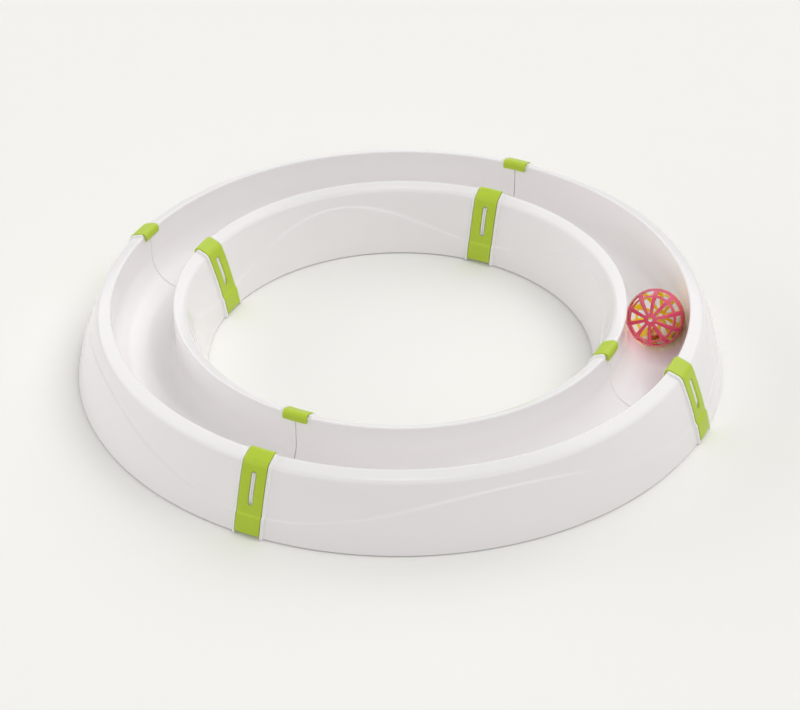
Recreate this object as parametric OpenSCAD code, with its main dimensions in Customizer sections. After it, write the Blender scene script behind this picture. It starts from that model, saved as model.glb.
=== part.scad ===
// Ball track toy for cats: a ring of four moulded track sections held together by
// eight spring clips, with a lattice ball that rolls round in the channel.
// Lengths are millimetres, angles are degrees, +Z is up and the floor is at zero.
// The four joints between the sections lie on the X and Y axes.

/* [Ring] */
// Radius of the channel's centre line
channel_r = 173; // [140:0.5:220]
// Distance from the channel's outer wall to the foot of the outer skirt
outer_foot_w = 24.25; // [20:0.25:32]
// Distance from the channel's inner wall to the foot of the inner skirt
inner_foot_w = 20.75; // [18:0.25:28]
// Height of the rim crests above the floor
rim_h = 48.8; // [46:0.1:64]
// Height of the channel floor above the table
floor_h = 7.2; // [6.4:0.1:12]
// Wall of the moulded sections
wall = 2; // [1.2:0.1:3]
// Gap between two neighbouring sections, at the centre line
seam_gap = 0.3; // [0.1:0.05:0.8]

/* [Rims and skirts] */
// Radius of the bead along the crest of each rim
bead_r = 1.3; // [0.8:0.1:2]
// Radius of the rounded shoulder between rim and skirt
shoulder_r = 5; // [3.4:0.1:6.5]
// Distance from the channel wall to the top of the outer skirt
outer_rim_w = 10.5; // [8:0.1:14]
// Distance from the channel wall to the top of the inner skirt
inner_rim_w = 9; // [8:0.1:12]
// Drop from the crest to the top of either skirt
shoulder_drop = 4.8; // [4:0.1:8]
// How far a skirt bulges out of the straight line from its top to its foot
skirt_bulge = 1.1; // [0.4:0.1:3]
// How far a skirt stands out further below its wave line
wave_h = 0.6; // [0.2:0.05:1]
// Height of the wave line where it is lowest
wave_low = 14; // [6:0.5:20]
// Drop from the skirt's top to the wave line's crest in the middle of a section
wave_drop = 7; // [3:0.5:16]

/* [Underside] */
// Thickness of the upright webs that close and stiffen a section
web_t = 2; // [1.4:0.1:3]
// Radius of a foot pad
pad_r = 5; // [4:0.1:6]
// Height of a foot pad
pad_h = 3.4; // [2:0.1:4.6]
// How far a foot pad stands out below the skirts
pad_proud = 0.6; // [0.4:0.1:1]
// Wall of the socket that holds a foot pad
socket_wall = 1.8; // [1.2:0.1:2.4]
// Gap between a foot pad and its socket
pad_gap = 0.1; // [0.05:0.05:0.2]

/* [Clips] */
// Width of a clip along the rim
clip_w = 16.8; // [12:0.1:24]
// Thickness of a clip
clip_t = 1.5; // [1.1:0.1:2.4]
// Extra thickness of the lower part of the leg
clip_step = 0.9; // [0.4:0.1:1.4]
// Height at which the leg starts to step out
clip_step_z = 15.5; // [8:0.5:18]
// Length of the slope of that step along the leg
clip_ramp = 2.5; // [1:0.1:4]
// Height of the leg's end above the skirt's foot
clip_end = 1.5; // [0.5:0.1:4]
// How far the hook reaches down into the channel
hook_drop = 2.6; // [1:0.1:6]
// Gap between a clip and the sections
clip_gap = 0.25; // [0.15:0.05:0.4]
// Length of the slot in the leg
slot_l = 22; // [12:0.5:24]
// Width of the slot in the leg
slot_w = 3.4; // [2.8:0.1:5]
// Drop from the rim's crest to the middle of the slot
slot_drop = 18.3; // [16:0.1:20]
// Bevel round the slot
slot_bevel = 0.7; // [0.2:0.1:0.8]
// Width of the two half ribs that lie in a slot, taken together
rib_w = 2.6; // [2:0.1:4]
// How far the half ribs stand out of the skirt
rib_h = 1.1; // [0.6:0.1:1.4]
// Gap between the ribs' ends and the slot's ends
rib_end_gap = 0.8; // [0.5:0.1:2]
// Width of the raised border beside a clip
border_w = 2.2; // [1:0.1:3]
// How far the border stands out of the skirt, above the leg's step
border_h = 1.4; // [0.4:0.1:1.6]

/* [Ball] */
// Outside diameter of the lattice ball
ball_d = 40; // [34:0.1:46]
// Gap on each side of the ball, between the channel's upright walls
ball_side_gap = 0.75; // [0.4:0.05:3]
// Wall of the ball's two halves
ball_wall = 1.5; // [1.2:0.1:2]
// Gap under the ball
ball_gap = 0.3; // [0.2:0.05:0.5]
// Ribs on each half of the ball
rib_count = 10; // [6:1:12]
// Width of a ball rib at its hub end
ball_rib_hub_w = 1.7; // [1.2:0.1:2.4]
// Width of a ball rib at the equator
ball_rib_rim_w = 3.2; // [2:0.1:4]
// Radius of the hub disc, seen along the pole
hub_r = 4.4; // [3.6:0.1:5]
// Radius of the hole in the hub
hub_hole_r = 1.5; // [0.8:0.1:2]
// Angle from the pole to the hoop between hub and equator
hoop_angle = 49.5; // [40:0.5:56]
// Width of the hoop, seen along the pole
hoop_w = 1.3; // [0.8:0.1:2]
// Depth of the lap joint at the equator
lap_d = 1.6; // [1:0.1:2.4]
// Gap in the lap joint
lap_gap = 0.06; // [0.04:0.01:0.1]
// Place of the ball round the ring
ball_az = 26.8; // [0:0.1:360]
// Azimuth of the pink half's pole
pole_az = -83; // [-180:1:180]
// Elevation of the pink half's pole
pole_el = 28; // [-90:1:90]
// Turn of the ribs about the pole
pole_turn = 3; // [0:1:360]

/* [Bell] */
// Outside radius of the bell
bell_r = 4.5; // [3.5:0.1:6]
// Sheet thickness of the bell
bell_t = 0.4; // [0.3:0.05:0.6]
// Width of the crimped flange round the bell's middle
flange_w = 0.6; // [0.4:0.1:1]
// Width of the slit in the cup
slit_w = 0.9; // [0.6:0.1:1.4]
// Radius of the holes at the slit's ends
slit_hole_r = 0.9; // [0.7:0.1:1.2]
// Radius of the pellet inside the bell
pellet_r = 1.4; // [1:0.1:2]
// Gap round the pellet and under the bell
bell_gap = 0.3; // [0.2:0.05:0.5]

/* [Hidden] */
ring_facets = 240;
ball_facets = 96;
small_facets = 48;
quarter = 90;
half_turn = 180;
// Azimuth at which each section and each joint starts
at_right = 0;
at_back = quarter;
at_left = 2 * quarter;
at_front = 3 * quarter;
// One overrun serves all cuts
overrun = 1;
// Corners along the arcs of the cross-section
bead_steps = 6;
shoulder_steps = 5;
skirt_steps = 6;
channel_steps = 24;
wave_steps = 24;
// The channel is a half circle with upright walls above it
ball_r = ball_d / 2;
channel_half = ball_r + ball_side_gap;
channel_z = floor_h + channel_half;
ring_r = channel_r + channel_half + outer_foot_w;
hole_r = channel_r - channel_half - inner_foot_w;
skirt_foot_z = pad_proud;
seam_angle = atan(seam_gap / 2 / channel_r);
web_angle = atan(web_t / channel_r);
bay_count = 3;
bay_angle = (quarter - 2 * seam_angle - (bay_count + 1) * web_angle) / bay_count;
pad_socket_r = pad_r + pad_gap;
boss_r = pad_socket_r + socket_wall;
// A side is drawn from the channel wall outwards, with the wall at zero
bead_centre = [bead_r, rim_h - bead_r];
skirt_top_z = rim_h - shoulder_drop;
outer_foot = [outer_foot_w, skirt_foot_z];
inner_foot = [inner_foot_w, skirt_foot_z];
outer_top = [outer_rim_w, skirt_top_z];
inner_top = [inner_rim_w, skirt_top_z];
slot_z = rim_h - slot_drop;
wave_high = skirt_top_z - wave_drop;
border_from = clip_w / 2 + clip_gap;
ball_in_r = ball_r - ball_wall;
ball_z = floor_h + ball_gap + ball_r;
hoop_r = ball_r * sin(hoop_angle);
lap_t = ball_wall / 2;
lap_in_r = ball_in_r - lap_t / 2;
// The bell lies in the bottom of the ball, clear of the lap joint as the ball turns
bell_drop = lap_in_r - bell_gap - bell_r;

// Geometry helpers
function direction(angle) = [cos(angle), sin(angle)];
function quarter_turned(v) = [-v[1], v[0]];
function angle_to(centre, point) = atan2(point[1] - centre[1], point[0] - centre[0]);
function reversed(list) = [for (i = [len(list) - 1:-1:0]) list[i]];
function arc_points(centre, radius, start, end, steps) =
    [for (i = [0:steps]) centre + radius * direction(start + (end - start) * i / steps)];

// Circle that a skirt follows from its top to its foot
function skirt_radius(top, foot) = pow(norm(foot - top), 2) / (8 * skirt_bulge) + skirt_bulge / 2;
function skirt_centre(top, foot) = (top + foot) / 2
    - (skirt_radius(top, foot) - skirt_bulge) * quarter_turned(foot - top) / norm(foot - top);
function top_angle(top, foot) = angle_to(skirt_centre(top, foot), top);
function foot_angle(top, foot) = angle_to(skirt_centre(top, foot), foot);
function height_angle(top, foot, z) =
    asin((z - skirt_centre(top, foot)[1]) / skirt_radius(top, foot));
function skirt_point(top, foot, angle, out) =
    skirt_centre(top, foot) + (skirt_radius(top, foot) + out) * direction(angle);

// The shoulder rounds the skirt's top, and one straight line joins it to the bead
function shoulder_centre(top, foot) = top - shoulder_r * direction(top_angle(top, foot));
function rim_angle(top, foot) = let (across = shoulder_centre(top, foot) - bead_centre)
    atan2(across[1], across[0]) + acos((bead_r - shoulder_r) / norm(across));

// Points of one side at a distance out from the moulded surface
function rim_path(top, foot, out, start) = concat(
    arc_points(bead_centre, bead_r + out, start, rim_angle(top, foot), bead_steps),
    arc_points(shoulder_centre(top, foot), shoulder_r + out,
               rim_angle(top, foot), top_angle(top, foot), shoulder_steps));
function skirt_path(top, foot, out, start, end) =
    [for (i = [0:skirt_steps])
        skirt_point(top, foot, start + (end - start) * i / skirt_steps, out)];
function side_path(top, foot, out, start) = concat(
    rim_path(top, foot, out, start),
    skirt_path(top, foot, out, top_angle(top, foot), foot_angle(top, foot)));

// Underside of one side: the wall's thickness inside the moulded surface
function hollow_path(top, foot) = let (lean = rim_angle(top, foot)) concat(
    [[wall, (bead_centre * direction(lean) + bead_r - wall - wall * cos(lean)) / sin(lean)]],
    arc_points(shoulder_centre(top, foot), shoulder_r - wall,
               lean, top_angle(top, foot), shoulder_steps),
    skirt_path(top, foot, -wall, top_angle(top, foot), foot_angle(top, foot)),
    [skirt_point(top, foot, foot_angle(top, foot), -wall) - [0, overrun]]);

// From a side's own coordinates to radius and height
function to_outer(path) = [for (p = path) [channel_r + channel_half + p[0], p[1]]];
function to_inner(path) = [for (p = path) [channel_r - channel_half - p[0], p[1]]];
function channel_path(radius) =
    arc_points([channel_r, channel_z], radius, 0, -half_turn, channel_steps);

module section_solid_profile() {
    polygon(concat(
        reversed(to_outer(side_path(outer_top, outer_foot, 0, half_turn))),
        channel_path(channel_half),
        to_inner(side_path(inner_top, inner_foot, 0, half_turn))));
}

module section_hollow_profile() {
    polygon(concat(
        reversed(to_outer(hollow_path(outer_top, outer_foot))),
        channel_path(channel_half + wall),
        to_inner(hollow_path(inner_top, inner_foot))));
}

module sector(start, angle) {
    rotate([0, 0, start]) rotate_extrude(angle = angle, $fn = ring_facets) children();
}

// A slice of the ring beside the X axis, from one distance off it to another
module slice(from, to) {
    intersection() {
        sector(-quarter / 4, quarter / 2) children();
        translate([0, from, skirt_foot_z])
            cube([ring_r + clip_w, to - from, rim_h + clip_w]);
    }
}

// Bands that follow a side between two distances from its surface, on past its foot
function skirt_on(top, foot, out) = skirt_path(top, foot, out,
    top_angle(top, foot), height_angle(top, foot, skirt_foot_z - overrun));
function skirt_band(top, foot, low, high) =
    concat(skirt_on(top, foot, high), reversed(skirt_on(top, foot, low)));

// A clip's leg and the borders beside it step out together, near their lower end
function stepped_path(top, foot, out, end) = let (
    step = height_angle(top, foot, clip_step_z),
    ramp = clip_ramp / skirt_radius(top, foot) * half_turn / PI)
    concat(skirt_path(top, foot, out, top_angle(top, foot), step),
           skirt_path(top, foot, out + clip_step, step - ramp, end));
function border_points(top, foot) = let (low = -bead_r / 2) concat(
    rim_path(top, foot, border_h, quarter),
    stepped_path(top, foot, border_h, height_angle(top, foot, skirt_foot_z - 2 * overrun)),
    reversed(skirt_on(top, foot, low)), reversed(rim_path(top, foot, low, quarter)));

// Half rib that lies in a clip's slot, with a ramp at its lower end
function rib_points(top, foot) = let (
    radius = skirt_radius(top, foot),
    middle = height_angle(top, foot, slot_z),
    reach = (slot_l / 2 - rib_end_gap) / radius * half_turn / PI,
    ramp = 4 * rib_h / radius * half_turn / PI)
    concat(
        [skirt_point(top, foot, middle - reach, -wall / 2),
         skirt_point(top, foot, middle - reach, 0)],
        skirt_path(top, foot, rib_h, middle - reach + ramp, middle + reach),
        [skirt_point(top, foot, middle + reach, -wall / 2)]);

// Borders and half ribs at one end of a section, beside the X axis
module end_details() {
    slice(border_from, border_from + border_w) {
        polygon(to_outer(border_points(outer_top, outer_foot)));
        polygon(to_inner(border_points(inner_top, inner_foot)));
    }
    slice(seam_gap / 2, rib_w / 2) {
        polygon(to_outer(rib_points(outer_top, outer_foot)));
        polygon(to_inner(rib_points(inner_top, inner_foot)));
    }
}

// The wave line is the edge of a shallow step in the skirt, seen here square on
function wave_z(angle) = (wave_low + wave_high) / 2
    + (wave_high - wave_low) / 2 * cos(4 * angle);
function side_r(z, sign) = sign > 0
    ? channel_r + channel_half
        + skirt_point(outer_top, outer_foot, height_angle(outer_top, outer_foot, z), 0)[0]
    : channel_r - channel_half
        - skirt_point(inner_top, inner_foot, height_angle(inner_top, inner_foot, z), 0)[0];
function wave_reach(z, sign) = quarter / 2
    - asin((border_from + border_w / 2) / side_r(z, sign));
function wave_edge(sign) = [for (i = [-wave_steps / 2:wave_steps / 2])
    let (angle = wave_reach(wave_low, sign) * 2 * i / wave_steps, z = wave_z(angle))
    [side_r(z, sign) * sin(angle), z]];

module wave_step(sign, from, length) {
    reach = side_r(skirt_foot_z, sign) * sin(wave_reach(skirt_foot_z, sign));
    intersection() {
        rotate([0, 0, quarter / 2]) translate([from, 0, 0])
            rotate([quarter, 0, quarter]) linear_extrude(length)
                polygon(concat(wave_edge(sign), [[reach, skirt_foot_z], [-reach, skirt_foot_z]]));
        sector(seam_angle, quarter - 2 * seam_angle) children();
    }
}

module track_section(start) {
    color("#f3f1f2") rotate([0, 0, start]) difference() {
        union() {
            sector(seam_angle, quarter - 2 * seam_angle) section_solid_profile();
            end_details();
            rotate([0, 0, quarter]) mirror([0, 1, 0]) end_details();
            wave_step(1, ring_r / 2, ring_r)
                polygon(to_outer(skirt_band(outer_top, outer_foot, -wall / 2, wave_h)));
            wave_step(-1, hole_r / 2, channel_r - hole_r / 2)
                polygon(to_inner(skirt_band(inner_top, inner_foot, -wall / 2, wave_h)));
        }
        for (i = [0:bay_count - 1]) {
            difference() {
                sector(seam_angle + web_angle + i * (bay_angle + web_angle), bay_angle)
                    section_hollow_profile();
                rotate([0, 0, pad_angle(i)]) translate([channel_r, 0, skirt_foot_z - 2 * overrun])
                    cylinder(r = boss_r, h = channel_z, $fn = small_facets);
            }
            rotate([0, 0, pad_angle(i)]) translate([channel_r, 0, skirt_foot_z - overrun])
                cylinder(r = pad_socket_r, h = pad_h - pad_proud + pad_gap + overrun, $fn = small_facets);
        }
    }
}

// Azimuth of a foot pad from the start of its section, in the middle of its bay
function pad_angle(i) = seam_angle + web_angle + i * (bay_angle + web_angle) + bay_angle / 2;

module foot_pad(start, i) {
    pad_edge = pad_h / 8;
    color("#c9cac6") rotate([0, 0, start + pad_angle(i)]) translate([channel_r, 0, 0]) {
        cylinder(r1 = pad_r - pad_edge, r2 = pad_r, h = pad_edge, $fn = small_facets);
        translate([0, 0, pad_edge]) cylinder(r = pad_r, h = pad_h - pad_edge, $fn = small_facets);
    }
}

// Cross-section of a clip: a hook over the rim and a leg that steps out near its end
function clip_points(top, foot) = let (
    inside = clip_gap,
    outside = clip_gap + clip_t,
    hook_z = rim_h - bead_r - hook_drop,
    end = height_angle(top, foot, skirt_foot_z + clip_end))
    concat(
        [[-outside, hook_z]],
        rim_path(top, foot, outside, half_turn),
        stepped_path(top, foot, outside, end),
        reversed(skirt_path(top, foot, inside, top_angle(top, foot), end)),
        reversed(rim_path(top, foot, inside, half_turn)),
        [[-inside, hook_z]]);

// Slot with bevelled edges, cut square to the leg, with its middle at the origin
module slot_cut() {
    half = (slot_l - slot_w) / 2;
    depth = clip_t + clip_gap;
    bevel_w = slot_w / 2 + slot_bevel + overrun;
    for (side = [-1, 1]) translate([0, 0, side * half]) rotate([0, quarter, 0]) {
        translate([0, 0, -depth - overrun])
            cylinder(r = slot_w / 2, h = 2 * depth + 2 * overrun, $fn = small_facets);
        translate([0, 0, depth - slot_bevel])
            cylinder(r1 = slot_w / 2, r2 = bevel_w, h = slot_bevel + overrun, $fn = small_facets);
    }
    translate([0, 0, -half]) linear_extrude(2 * half) polygon([
        [-depth - overrun, -slot_w / 2], [depth - slot_bevel, -slot_w / 2],
        [depth + overrun, -bevel_w], [depth + overrun, bevel_w],
        [depth - slot_bevel, slot_w / 2], [-depth - overrun, slot_w / 2]]);
}

module outer_clip(joint) {
    middle = height_angle(outer_top, outer_foot, slot_z);
    at = skirt_point(outer_top, outer_foot, middle, 0);
    color("#aac93c") rotate([0, 0, joint]) difference() {
        slice(-clip_w / 2, clip_w / 2) polygon(to_outer(clip_points(outer_top, outer_foot)));
        translate([channel_r + channel_half + at[0], 0, at[1]]) rotate([0, -middle, 0]) slot_cut();
    }
}

module inner_clip(joint) {
    middle = height_angle(inner_top, inner_foot, slot_z);
    at = skirt_point(inner_top, inner_foot, middle, 0);
    color("#aac93c") rotate([0, 0, joint]) difference() {
        slice(-clip_w / 2, clip_w / 2) polygon(to_inner(clip_points(inner_top, inner_foot)));
        translate([channel_r - channel_half - at[0], 0, at[1]])
            rotate([0, 0, half_turn]) rotate([0, -middle, 0]) slot_cut();
    }
}

module at_ball() {
    rotate([0, 0, ball_az]) translate([channel_r, 0, ball_z]) children();
}

module along_pole() {
    at_ball() rotate([0, 0, pole_az - ball_az]) rotate([0, quarter - pole_el, 0])
        rotate([0, 0, pole_turn]) children();
}

// Lattice of one half, seen along its pole
module lattice_pattern() {
    difference() {
        union() {
            circle(r = hub_r, $fn = small_facets);
            for (i = [0:rib_count - 1]) rotate(i * 2 * half_turn / rib_count)
                polygon([
                    [hub_hole_r, -ball_rib_hub_w / 2], [ball_r, -ball_rib_rim_w / 2],
                    [ball_r, ball_rib_rim_w / 2], [hub_hole_r, ball_rib_hub_w / 2]]);
            difference() {
                circle(r = hoop_r + hoop_w / 2, $fn = ball_facets);
                circle(r = hoop_r - hoop_w / 2, $fn = ball_facets);
            }
            difference() {
                circle(r = ball_r + overrun, $fn = ball_facets);
                circle(r = ball_in_r, $fn = ball_facets);
            }
        }
        circle(r = hub_hole_r, $fn = small_facets);
    }
}

module half_lattice() {
    intersection() {
        difference() {
            sphere(r = ball_r, $fn = ball_facets);
            sphere(r = ball_in_r, $fn = ball_facets);
        }
        linear_extrude(ball_r + overrun) lattice_pattern();
    }
}

module ring_of(inside, outside, height) {
    difference() {
        cylinder(r = outside, h = height, $fn = ball_facets);
        translate([0, 0, -overrun]) cylinder(r = inside, h = height + 2 * overrun, $fn = ball_facets);
    }
}

module ball_pink_half() {
    color("#d2446c") along_pole() {
        half_lattice();
        translate([0, 0, -lap_d]) ring_of(lap_in_r, ball_in_r + lap_t / 2, 2 * lap_d);
    }
}

module ball_yellow_half() {
    color("#edbe10") along_pole() rotate([half_turn, 0, 0]) difference() {
        half_lattice();
        translate([0, 0, -overrun]) cylinder(
            r = ball_in_r + lap_t / 2 + lap_gap, h = lap_d + lap_gap + overrun, $fn = ball_facets);
    }
}

module at_bell() {
    at_ball() translate([0, 0, -bell_drop]) children();
}

module bell_dome() {
    difference() {
        sphere(r = bell_r, $fn = small_facets);
        sphere(r = bell_r - bell_t, $fn = small_facets);
        translate([0, 0, -bell_r]) cube(2 * bell_r, center = true);
    }
    ring_of(bell_r - bell_t, bell_r + flange_w, bell_t);
}

module bell_cap() {
    loop_r = bell_r / 4;
    color("#cfc7b4") at_bell() {
        bell_dome();
        translate([0, 0, bell_r + loop_r - bell_t]) rotate([quarter, 0, 0])
            rotate_extrude($fn = small_facets)
                translate([loop_r, 0]) circle(r = bell_t, $fn = small_facets);
    }
}

module bell_cup() {
    slit_reach = bell_r * cos(quarter / 3);
    color("#cfc7b4") at_bell() mirror([0, 0, 1]) difference() {
        bell_dome();
        translate([-slit_reach, -slit_w / 2, bell_r / 4]) cube([2 * slit_reach, slit_w, bell_r]);
        for (side = [-1, 1]) rotate([0, side * quarter / 3 * 2, 0])
            cylinder(r = slit_hole_r, h = bell_r + overrun, $fn = small_facets);
    }
}

module bell_pellet() {
    color("#8f9296") at_bell() translate([0, 0, -(bell_r - bell_t - pellet_r - bell_gap)])
        sphere(r = pellet_r, $fn = small_facets);
}

track_section(at_front);  // section_front_right
track_section(at_right);  // section_back_right
track_section(at_back);  // section_back_left
track_section(at_left);  // section_front_left
outer_clip(at_right);  // outer_clip_right
outer_clip(at_back);  // outer_clip_back
outer_clip(at_left);  // outer_clip_left
outer_clip(at_front);  // outer_clip_front
inner_clip(at_right);  // inner_clip_right
inner_clip(at_back);  // inner_clip_back
inner_clip(at_left);  // inner_clip_left
inner_clip(at_front);  // inner_clip_front
foot_pad(at_front, 0);  // foot_front_right_1
foot_pad(at_front, 1);  // foot_front_right_2
foot_pad(at_front, 2);  // foot_front_right_3
foot_pad(at_right, 0);  // foot_back_right_1
foot_pad(at_right, 1);  // foot_back_right_2
foot_pad(at_right, 2);  // foot_back_right_3
foot_pad(at_back, 0);  // foot_back_left_1
foot_pad(at_back, 1);  // foot_back_left_2
foot_pad(at_back, 2);  // foot_back_left_3
foot_pad(at_left, 0);  // foot_front_left_1
foot_pad(at_left, 1);  // foot_front_left_2
foot_pad(at_left, 2);  // foot_front_left_3
ball_pink_half();
ball_yellow_half();
bell_cap();
bell_cup();
bell_pellet();
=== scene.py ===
import math
import bmesh
import bpy
from mathutils import Matrix, Vector


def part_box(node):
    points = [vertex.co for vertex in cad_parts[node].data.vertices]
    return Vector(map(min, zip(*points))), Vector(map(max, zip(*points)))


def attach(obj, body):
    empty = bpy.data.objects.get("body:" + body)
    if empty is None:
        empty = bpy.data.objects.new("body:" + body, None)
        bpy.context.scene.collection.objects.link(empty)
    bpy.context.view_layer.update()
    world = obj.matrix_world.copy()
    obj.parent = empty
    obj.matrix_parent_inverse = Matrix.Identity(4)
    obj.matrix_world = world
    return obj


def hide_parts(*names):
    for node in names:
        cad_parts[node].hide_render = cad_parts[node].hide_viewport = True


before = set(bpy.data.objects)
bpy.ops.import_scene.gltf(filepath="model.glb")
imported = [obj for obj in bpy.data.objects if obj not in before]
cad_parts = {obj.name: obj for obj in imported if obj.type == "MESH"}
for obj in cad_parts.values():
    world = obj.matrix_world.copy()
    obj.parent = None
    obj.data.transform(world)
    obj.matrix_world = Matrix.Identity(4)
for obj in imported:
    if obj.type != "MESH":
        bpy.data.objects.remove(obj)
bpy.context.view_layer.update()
mm = 0.001  # sizes below are in millimetres, and Blender's in metres
tiny = 0.000001
quarter = math.pi / 2
print("frame loaded")


def linear(hexColour):  # an sRGB hex value as the linear colour that sockets want
    parts = [int(hexColour[i:i + 2], 16) / 255 for i in (1, 3, 5)]
    return [c / 12.92 if c <= 0.04045 else ((c + 0.055) / 1.055) ** 2.4 for c in parts] + [1]


def addNode(tree, kind, feeds=(), **settings):  # feeds: input name or number to a value, a node or an output
    node = tree.nodes.new(kind)
    for name, value in settings.items():
        setattr(node, name, value)
    for key, value in feeds.items() if isinstance(feeds, dict) else enumerate(feeds):
        if isinstance(value, bpy.types.Node):
            value = value.outputs[0]
        if isinstance(value, bpy.types.NodeSocket):
            tree.links.new(value, node.inputs[key])
        else:
            node.inputs[key].default_value = value
    return node


def spread(start, end, steps):  # even steps from one value to the other, both included
    return [start + (end - start) * i / steps for i in range(steps + 1)]


def showObject(name, data):
    thing = bpy.data.objects.new(name, data)
    bpy.context.scene.collection.objects.link(thing)
    return thing


def meshFrom(name, points, faces):
    mesh = bpy.data.meshes.new(name)
    mesh.from_pydata([tuple(p) for p in points], [], faces)
    return mesh


def tidyMesh(mesh, mergeAt=0.01):  # merged, closed and facing outwards
    shape = bmesh.new()
    shape.from_mesh(mesh)
    bmesh.ops.remove_doubles(shape, verts=shape.verts, dist=mergeAt * mm)
    bmesh.ops.dissolve_degenerate(shape, edges=shape.edges, dist=mergeAt * mm / 10)
    bmesh.ops.recalc_face_normals(shape, faces=shape.faces)
    shape.to_mesh(mesh)
    shape.free()


def latheMesh(points, steps, closed=False):  # turned about Z, from axis to axis or as a closed ring
    verts, rings, faces = [], [], []
    turns = [2 * math.pi * i / steps for i in range(steps)]
    for r, z in points:
        around = [(r * math.cos(t) * mm, r * math.sin(t) * mm, z * mm) for t in turns]
        if r < tiny:
            around = around[:1]
        rings.append(list(range(len(verts), len(verts) + len(around))))
        verts += around
    for a, b in zip(rings, rings[1:] + rings[:1] if closed else rings[1:]):
        for i in range(steps):
            j = (i + 1) % steps
            quad = [a[i % len(a)], a[j % len(a)], b[j % len(b)], b[i % len(b)]]
            faces.append(list(dict.fromkeys(quad)))
    return verts, faces


def roundEdges(thing, width, steps, sharpFrom):
    bevel = thing.modifiers.new("edges", "BEVEL")
    bevel.width, bevel.segments, bevel.limit_method = width * mm, steps, "ANGLE"
    bevel.angle_limit = math.radians(sharpFrom)


def bakeModifiers(thing, material):  # the evaluated shape becomes the piece's own plain mesh
    graph = bpy.context.evaluated_depsgraph_get()
    mesh = bpy.data.meshes.new_from_object(thing.evaluated_get(graph), depsgraph=graph)
    thing.modifiers.clear()
    thing.data = mesh
    mesh.materials.clear()
    mesh.materials.append(material)
    return mesh


def smoothShade(mesh, smoothUpTo):
    mesh.shade_smooth()
    mesh.set_sharp_from_angle(angle=math.radians(smoothUpTo))


def finishPiece(thing, body, slotName, *nodes):
    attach(thing, body)
    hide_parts(*nodes)


# the camera, solved from the ring's circles in the photograph: degrees, metres, and millimetres of lens
view = {
    "azimuth": 25.76, "elevation": 34.3677, "distance": 1.6969, "roll": -0.293,
    "lens": 111.83, "sensor": 36, "shiftX": -0.000616, "shiftY": 0.00008, "near": 0.05, "far": 30,
}


def makeCamera():
    azimuth, elevation = math.radians(view["azimuth"]), math.radians(view["elevation"])
    level = math.cos(elevation)
    place = Vector((math.sin(azimuth) * level, -math.cos(azimuth) * level, math.sin(elevation)))
    place = view["distance"] * place
    data = bpy.data.cameras.new("camera")
    data.lens, data.sensor_width = view["lens"], view["sensor"]
    data.shift_x, data.shift_y = view["shiftX"], view["shiftY"]
    data.clip_start, data.clip_end = view["near"], view["far"]
    camera = showObject("camera", data)
    turn = (-place).to_track_quat("-Z", "Y").to_matrix() @ Matrix.Rotation(math.radians(view["roll"]), 3, "Z")
    camera.matrix_world = Matrix.Translation(place) @ turn.to_4x4()
    bpy.context.scene.camera = camera


makeCamera()
print("camera placed")

# the ring's cross-section, from the same sizes as the construction
ring = {
    "channelR": 173, "channelHalf": 20.75, "channelZ": 27.95, "rimHeight": 48.8, "wall": 2,
    "beadR": 1.3, "shoulderR": 5, "bulge": 1.1, "footZ": 0.6, "topZ": 44,
    "outerTopWidth": 10.5, "outerFootWidth": 24.25, "innerTopWidth": 9, "innerFootWidth": 20.75,
    "seamHalf": 0.2,
}

finishes = {  # each colour and its deeper shade
    "white": ("#F6F3F3", "#F4F1F1"), "green": ("#B8D034", "#B2CC2E"), "pink": ("#D8406C", "#D23A66"),
    "yellow": ("#FFD22C", "#FFCE28"), "rubber": ("#C9CAC6", "#BFC0BC"), "brass": ("#D8BC7C", "#B89654"),
    "steel": ("#8F9296", "#6F7276"),
}
noiseLow, noiseHigh = 0.3, 0.7  # most of a noise pattern's values lie between these

whiteSkin = {
    "driftSize": 111.11, "roughLow": 0.09, "roughHigh": 0.12, "ior": 1.49,
    "laneFull": 2, "laneEnd": 6, "laneRough": 0.06, "laneLow": 8, "laneHigh": 10,
    "rippleSize": 12.5, "rippleDepth": 0.02, "rippleStrength": 0.2,
}
plastics = {  # peel is the fine texture of the mould, and glow the light that passes through thin walls
    "greenMouldedPolypropylene": {
        "finish": "green", "rough": 0.34, "ior": 1.49, "peelSize": 1.2, "peelDepth": 0.015},
    "pinkGlossPolystyrene": {
        "finish": "pink", "rough": 0.16, "ior": 1.55, "peelSize": 3, "peelDepth": 0.01, "glow": 0.8},
    "yellowGlossPolystyrene": {
        "finish": "yellow", "rough": 0.16, "ior": 1.55, "peelSize": 3, "peelDepth": 0.01, "glow": 0.9},
    "paleMouldedRubber": {
        "finish": "rubber", "rough": 0.7, "ior": 1.5, "peelSize": 0.7, "peelDepth": 0.05},
}


def startMaterial(name):
    material = bpy.data.materials.new(name)
    material.use_nodes = True
    tree = material.node_tree
    tree.nodes.clear()
    return material, tree


def startSkin(name, finish, size, detail, blur):  # a material whose colour drifts between its two shades
    material, tree = startMaterial(name)
    place = addNode(tree, "ShaderNodeTexCoord").outputs["Object"]
    drift = addNode(tree, "ShaderNodeTexNoise", {
        "Vector": place, "Scale": 1 / (size * mm), "Detail": detail, "Roughness": blur})
    colour, deep = (linear(shade) for shade in finishes[finish])
    tint = addNode(tree, "ShaderNodeMix", {0: drift, 6: deep, 7: colour}, data_type="RGBA").outputs[2]
    return material, tree, place, drift, tint


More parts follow.
